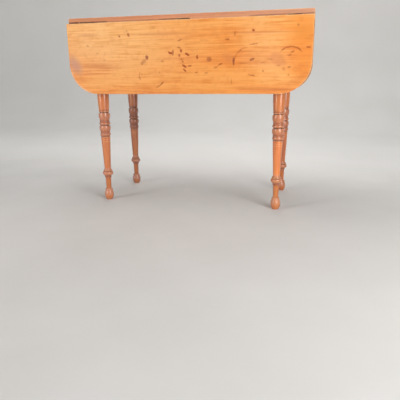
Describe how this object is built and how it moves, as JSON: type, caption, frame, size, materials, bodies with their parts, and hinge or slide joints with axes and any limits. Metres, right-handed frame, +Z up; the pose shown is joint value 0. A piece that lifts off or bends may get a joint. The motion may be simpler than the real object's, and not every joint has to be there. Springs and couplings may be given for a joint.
{
  "type": "pembroke table",
  "caption": "Small pembroke drop-leaf table with round-cornered leaves on butt hinges, ring-turned tapering legs on egg feet, knuckle-jointed fly brackets and an end drawer.",
  "frame": {"origin": "on the floor, under the middle of the top", "axes": "+X along the length of the top, away from the drawer; +Y from the front leaf to the rear leaf; +Z up"},
  "size_m": [0.928, 0.4106, 0.724],
  "materials": {
    "top_wood": "golden orange shellac on close-grained hardwood, worn and marked",
    "frame_wood": "redder brown shellac on turned and sawn hardwood",
    "fly_wood": "thinly finished hardwood",
    "inner_wood": "unfinished softwood, darkened with age",
    "iron": "dark rubbed iron"
  },
  "bodies": {
    "frame": {"end_glue_block": "inner_wood", "fly_pins": "iron", "front_drawer_kicker": "inner_wood", "front_drawer_runner": "inner_wood", "front_drawer_stop": "inner_wood", "front_fly_block": "fly_wood", "front_inner_rail": "inner_wood", "front_left_fly": "fly_wood", "front_left_hinge_pin": "iron", "front_left_hinge_top_plate": "iron", "front_left_leg": "frame_wood", "front_middle_hinge_pin": "iron", "front_middle_hinge_top_plate": "iron", "front_right_fly": "fly_wood", "front_right_hinge_pin": "iron", "front_right_hinge_top_plate": "iron", "front_right_leg": "frame_wood", "joint_pegs": "frame_wood", "lower_drawer_rail": "frame_wood", "plain_end_rail": "frame_wood", "rear_drawer_kicker": "inner_wood", "rear_drawer_runner": "inner_wood", "rear_drawer_stop": "inner_wood", "rear_fly_block": "fly_wood", "rear_inner_rail": "inner_wood", "rear_left_fly": "fly_wood", "rear_left_hinge_pin": "iron", "rear_left_hinge_top_plate": "iron", "rear_left_leg": "frame_wood", "rear_middle_hinge_pin": "iron", "rear_middle_hinge_top_plate": "iron", "rear_right_fly": "fly_wood", "rear_right_hinge_pin": "iron", "rear_right_hinge_top_plate": "iron", "rear_right_leg": "frame_wood", "top_board": "top_wood", "top_screws": "iron", "upper_drawer_rail": "frame_wood"},
    "front_leaf": {"front_leaf": "top_wood", "front_left_hinge_leaf_plate": "iron", "front_middle_hinge_leaf_plate": "iron", "front_right_hinge_leaf_plate": "iron"},
    "rear_leaf": {"rear_leaf": "top_wood", "rear_left_hinge_leaf_plate": "iron", "rear_middle_hinge_leaf_plate": "iron", "rear_right_hinge_leaf_plate": "iron"},
    "drawer": {"drawer_back": "inner_wood", "drawer_bottom": "inner_wood", "drawer_front": "frame_wood", "drawer_knob": "frame_wood", "front_drawer_side": "inner_wood", "rear_drawer_side": "inner_wood"}
  },
  "joints": [
    {"name": "front_leaf_hinge", "type": "hinge", "parent": "frame", "child": "front_leaf", "pos_m": [0, -0.1843, 0.703], "axis": [-1, 0, 0], "range_deg": [0, 90]},
    {"name": "rear_leaf_hinge", "type": "hinge", "parent": "frame", "child": "rear_leaf", "pos_m": [0, 0.1843, 0.703], "axis": [1, 0, 0], "range_deg": [0, 90]},
    {"name": "drawer_slide", "type": "slide", "parent": "frame", "child": "drawer", "axis": [-1, 0, 0], "range_m": [0, 0.28]}
  ]
}
